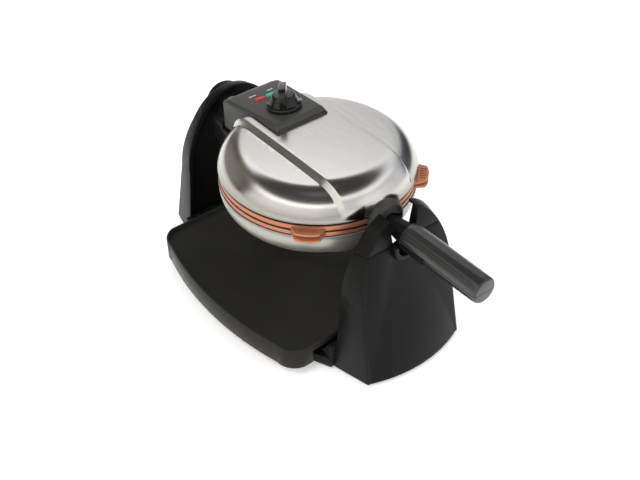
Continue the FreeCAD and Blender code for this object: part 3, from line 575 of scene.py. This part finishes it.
def steel_shell(node, lobe, band, edge, up):
    """A pressed shell with a raised band between two lower lobes; up is 1 for the lid and -1 for below."""
    roll = [
        (SHELL_RADIUS_MM, edge + 3 * RIM_ROLL_MM),
        (SHELL_RADIUS_MM + RIM_ROLL_MM, edge + 2 * RIM_ROLL_MM),
        (SHELL_RADIUS_MM + RIM_ROLL_MM, edge + RIM_ROLL_MM),
        (SHELL_RADIUS_MM, edge),
    ]
    piece = turned(node + "_pressing", [(reach, up * level) for reach, level in lobe.profile() + roll])
    for cut in range(STEP_CUTS + 1):
        across = STEP_START_MM + (STEP_END_MM - STEP_START_MM) * cut / STEP_CUTS
        for side in (-1, 1):
            edit(piece)
            bpy.ops.mesh.bisect(plane_co=(0, side * across * MILLI, 0), plane_no=(0, 1, 0))
    rest()
    for spot in piece.data.vertices:
        local = (spot.co - IRON) / MILLI
        if up * local.z < SHELL_SIDE_MM - RIM_ROLL_MM:
            continue
        share = step_share(abs(local.y))
        reach = math.hypot(local.x, local.y)
        level = band.level(reach) * (1 - share) + lobe.level(reach) * share
        spot.co.z = IRON.z + up * level * MILLI
    apply(piece, "SOLIDIFY", thickness=SHELL_WALL_MM * MILLI, offset=-1.0)
    smooth(piece, SHELL_SHARP)
    stand_for(piece, node)


def steel_shells():
    """The lid's shell and the one below."""
    steel_shell("lid_shell", LID_LOBE, LID_BAND, LID_EDGE_MM, 1)
    steel_shell("lower_shell", UNDER_LOBE, UNDER_BAND, UNDER_EDGE_MM, -1)


# Painted shade: a dark ring in the parting gap between the two grids

GAP_SHADE_INNER_MM = 99.52
GAP_SHADE_OUTER_MM = 99.8
GAP_SHADE_HALF_MM = 0.85


def parting_gap_shade():
    """A dark ring of painted shade in the gap round the iron where its halves meet."""
    profile = [
        (GAP_SHADE_INNER_MM, -GAP_SHADE_HALF_MM),
        (GAP_SHADE_OUTER_MM, -GAP_SHADE_HALF_MM),
        (GAP_SHADE_OUTER_MM, GAP_SHADE_HALF_MM),
        (GAP_SHADE_INNER_MM, GAP_SHADE_HALF_MM),
        (GAP_SHADE_INNER_MM, -GAP_SHADE_HALF_MM),
    ]
    piece = turned("parting_gap_shade", profile)
    smooth(piece)
    dress(piece, finishes["frame_enamel"], "iron")


# Ribs on the grids' finger tabs

TAB_ANGLE = math.radians(44)
TAB_ROOT_MM = 95.0
TAB_FACE_MM = 3.0
TAB_RISE_MM = 3.4
TAB_RUN_MM = 25.5
TAB_SLOPE = TAB_RISE_MM / TAB_RUN_MM
RIB_COUNT = 5
RIB_PITCH_MM = 3.8
RIB_REACH_MM = 105.4
RIB_LENGTH_MM = 6.0
RIB_WIDTH_MM = 1.5
RIB_THICK_MM = 1.0
RIB_SUNK_MM = 0.1
RIB_ROUND_MM = 0.25


def ribs_on_tab(name, turn, up):
    """The ribs on the outer face of one tab, side by side and running outwards."""
    rise = Vector((0, 0, up))
    out = Vector((math.cos(turn), math.sin(turn), 0))
    side = Vector((-out.y, out.x, 0))
    along = (out + rise * TAB_SLOPE).normalized() * (RIB_LENGTH_MM / 2 * MILLI)
    across = side * (RIB_WIDTH_MM / 2 * MILLI)
    lift = (rise - out * TAB_SLOPE).normalized()
    level = TAB_FACE_MM + TAB_SLOPE * (RIB_REACH_MM - TAB_ROOT_MM)
    middle = IRON + (out * RIB_REACH_MM + rise * level - lift * RIB_SUNK_MM) * MILLI
    ribs = []
    for place in range(RIB_COUNT):
        offset = RIB_PITCH_MM * (place - (RIB_COUNT - 1) / 2)
        centre = middle + side * (offset * MILLI)
        ribs.append(slab(name, centre, along, across, lift * (RIB_THICK_MM * MILLI)))
    return ribs


def tab_ribs():
    """Short ribs for the fingers on the two tabs of each grid, joined into one piece for each grid."""
    for node, up in (("upper_grid", 1), ("lower_grid", -1)):
        ribs = []
        for turn in (TAB_ANGLE, -TAB_ANGLE):
            ribs += ribs_on_tab(node + "_tab_ribs", turn, up)
        pick(ribs[0])
        for rib in ribs[1:]:
            rib.select_set(True)
        bpy.ops.object.join()
        soften(ribs[0], RIB_ROUND_MM)
        dress_like(ribs[0], node)


# Marks on the control panel

PANEL_BACK = Vector((-90, 0, 190)) * MILLI
PANEL_FRONT = Vector((-11, 0, 199)) * MILLI
MARK_THICK_MM = 0.14
MARK_PROUD_MM = 0.05
MARK_ROUND_MM = 0.05
# Place along and across the panel, length and width of each mark
PANEL_MARKS_MM = {
    "power_light_mark": (-79.0, -9.6, 1.5, 8.4),
    "ready_light_mark": (-78.8, 12.2, 1.5, 7.2),
    "dial_start_mark": (-74.1, 23.1, 1.3, 1.6),
    "dial_end_mark": (-38.3, 22.2, 2.6, 1.3),
}


def panel_level(x):
    """The height of the panel's slanted face at a place along it."""
    share = (x - PANEL_BACK.x) / (PANEL_FRONT.x - PANEL_BACK.x)
    return PANEL_BACK.z + share * (PANEL_FRONT.z - PANEL_BACK.z)


def panel_marks():
    """Plain pale bars by the lights and at the ends of the dial, set into the panel."""
    slant = (PANEL_FRONT - PANEL_BACK).normalized()
    down = Vector((0, 1, 0)).cross(slant)
    for name, (x, y, length, width) in PANEL_MARKS_MM.items():
        face = Vector((x * MILLI, y * MILLI, panel_level(x * MILLI)))
        top = face - down * (MARK_PROUD_MM * MILLI)
        along = slant * (length / 2 * MILLI)
        across = Vector((0, width / 2 * MILLI, 0))
        piece = slab(name, top, along, across, down * (MARK_THICK_MM * MILLI))
        soften(piece, MARK_ROUND_MM)
        dress(piece, finishes["bush_plastic"], "lid")


round_edges()
round_housing()
steel_shells()
parting_gap_shade()
tab_ribs()
panel_marks()

# Camera

CAMERA_AZIMUTH = math.radians(51.27)
CAMERA_ELEVATION = math.radians(40.28)
CAMERA_PLACE = Vector((0.6522, -0.5068, 0.7444))
NEAREST_SEEN = 0.01
SENSOR_WIDTH_MM = 36.0
IMAGE_WIDTH = 640
FOCAL_PIXELS = 1000.0


def set_camera():
    """The photograph's viewpoint."""
    lens = bpy.data.cameras.new("camera")
    lens.sensor_width = SENSOR_WIDTH_MM
    lens.lens = SENSOR_WIDTH_MM * FOCAL_PIXELS / IMAGE_WIDTH
    lens.clip_start = NEAREST_SEEN
    camera = bpy.data.objects.new("camera", lens)
    bpy.context.scene.collection.objects.link(camera)
    camera.location = CAMERA_PLACE
    camera.rotation_euler = (math.pi / 2 - CAMERA_ELEVATION, 0, CAMERA_AZIMUTH)
    bpy.context.scene.camera = camera


# Floor

FLOOR_RADIUS = 40.0
FLOOR_CORNERS = 96
FLOOR_DROP = 0.0002
FLOOR_COLOUR = (0.93, 0.93, 0.93, 1)
FLOOR_ROUGHNESS = 0.6
FLOOR_GLOW = 0.35


def lay_floor():
    """A pale floor that looks nearly white and keeps the shadow."""
    rest()
    bpy.ops.mesh.primitive_circle_add(
        vertices=FLOOR_CORNERS, radius=FLOOR_RADIUS, fill_type="NGON", location=(0, 0, -FLOOR_DROP)
    )
    floor = bpy.context.object
    floor.name = "floor"
    recipe = new_finish("pale_floor")
    recipe.fix(Base_Color=FLOOR_COLOUR, Roughness=FLOOR_ROUGHNESS, Emission_Color=(1, 1, 1, 1))
    rays = recipe.add("LightPath")
    seen = rays.outputs["Is Camera Ray"]
    for kind in ("Is Glossy Ray", "Is Transmission Ray"):
        either = recipe.add("Math", operation="ADD", use_clamp=True)
        recipe.link(seen, either.inputs[0])
        recipe.link(rays.outputs[kind], either.inputs[1])
        seen = either.outputs["Value"]
    recipe.feed("Emission Strength", recipe.ramp(seen, 0.0, FLOOR_GLOW))
    floor.data.materials.append(recipe.owner)


# Room, as tones by how far a direction points a given way: 0 is against it and 1 along it

ROOM_STRENGTH = 1.75
UP = Vector((0, 0, 1))
LEFT = Vector((-math.cos(CAMERA_AZIMUTH), -math.sin(CAMERA_AZIMUTH), 0))
TOWARDS_CAMERA = Vector((math.sin(CAMERA_AZIMUTH), -math.cos(CAMERA_AZIMUTH), 0))
TO_RIGHT_CARD = (UP * 0.1 - LEFT * 0.7 - TOWARDS_CAMERA * 0.7).normalized()
TO_LEFT_CARD = (UP * 0.25 + LEFT * 0.82 - TOWARDS_CAMERA * 0.5).normalized()
WHITE = (1.0, 1.0, 1.0)
HEIGHT_TONES = (
    (0.0, (0.62, 0.62, 0.62)),
    (0.7, (0.62, 0.62, 0.62)),
    (0.76, (0.53, 0.53, 0.53)),
    (0.79, (0.56, 0.56, 0.555)),
    (0.816, WHITE),
    (0.872, WHITE),
    (0.895, (0.05, 0.047, 0.042)),
    (0.985, (0.04, 0.04, 0.04)),
    (1.0, (0.12, 0.12, 0.12)),
)
SIDE_TONES = (
    (0.0, (0.95, 0.96, 0.98)),
    (0.12, (0.95, 0.96, 0.98)),
    (0.2, (0.66, 0.67, 0.69)),
    (0.45, (0.84, 0.84, 0.85)),
    (0.5, WHITE),
    (0.8, (1.0, 0.985, 0.95)),
    (1.0, (0.95, 0.92, 0.87)),
)
DEPTH_TONES = (
    (0.0, (0.8, 0.8, 0.8)),
    (0.5, (0.7, 0.7, 0.7)),
    (0.72, (1.0, 0.985, 0.95)),
    (1.0, (1.0, 0.98, 0.94)),
)
RIGHT_CARD_TONES = (
    (0.0, WHITE),
    (0.94, WHITE),
    (0.97, (0.1, 0.1, 0.11)),
    (1.0, (0.08, 0.08, 0.09)),
)
LEFT_CARD_TONES = (
    (0.0, WHITE),
    (0.888, WHITE),
    (0.908, (0.17, 0.155, 0.135)),
    (0.945, (0.12, 0.11, 0.095)),
    (0.972, (0.3, 0.28, 0.245)),
    (1.0, (0.32, 0.3, 0.26)),
)
ROOM_TONES = (
    (UP, HEIGHT_TONES),
    (LEFT, SIDE_TONES),
    (TOWARDS_CAMERA, DEPTH_TONES),
    (TO_RIGHT_CARD, RIGHT_CARD_TONES),
    (TO_LEFT_CARD, LEFT_CARD_TONES),
)


def toned(recipe, direction, way, stops):
    """The room's tone in a direction, from how far it points a given way."""
    dot = recipe.add("VectorMath", operation="DOT_PRODUCT")
    dot.inputs[1].default_value = way
    recipe.link(direction, dot.inputs[0])
    spread = recipe.add("ValToRGB")
    elements = spread.color_ramp.elements
    while len(elements) < len(stops):
        elements.new(0.5)
    for element, (where, colour) in zip(elements, stops):
        element.position = where
        element.color = (*colour, 1)
    recipe.link(recipe.ramp(dot.outputs["Value"], 0.0, 1.0, -1.0, 1.0), spread.inputs["Fac"])
    return spread.outputs["Color"]


def studio():
    """A bright room with a dark ceiling and two dark cards at the back."""
    recipe = Recipe(bpy.data.worlds.new("studio"), "Background")
    direction = recipe.add("TexCoord").outputs["Generated"]
    colour, *others = [toned(recipe, direction, way, stops) for way, stops in ROOM_TONES]
    for other in others:
        both = recipe.add("VectorMath", operation="MULTIPLY")
        recipe.link(colour, both.inputs[0])
        recipe.link(other, both.inputs[1])
        colour = both.outputs["Vector"]
    recipe.feed("Color", colour)
    recipe.fix(Strength=ROOM_STRENGTH)
    return recipe.owner


# Lamps


def lamp(name, place, target, size, watts):
    """A soft lamp that metal doesn't mirror."""
    light = bpy.data.lights.new(name, "AREA")
    light.shape = "RECTANGLE"
    light.size, light.size_y = size
    light.energy = watts
    thing = bpy.data.objects.new(name, light)
    bpy.context.scene.collection.objects.link(thing)
    thing.location = place
    thing.rotation_euler = (Vector(target) - Vector(place)).to_track_quat("-Z", "Y").to_euler()
    thing.visible_glossy = False


def set_light():
    """The room and five soft lamps."""
    scene = bpy.context.scene
    scene.view_settings.view_transform = "Standard"
    scene.world = studio()
    lamp("overhead", place=(-0.3, 0.5, 1.5), target=(0, 0, 0.1), size=(1.2, 1.2), watts=10)
    lamp("left_side", place=(-0.9, -1.3, 0.9), target=(0, 0, 0.1), size=(0.9, 0.9), watts=1.5)
    lamp("right_side", place=(1.5, 0.5, 0.8), target=(0.1, 0, 0.1), size=(0.5, 1.0), watts=5)
    lamp("front_fill", place=(0.4, -1.2, 0.12), target=(0.03, 0, 0.13), size=(0.8, 0.2), watts=0.6)
    lamp("front_top", place=(0.2, -0.85, 1.4), target=(0, -0.1, 0.05), size=(0.8, 0.8), watts=10)


set_camera()
lay_floor()
set_light()
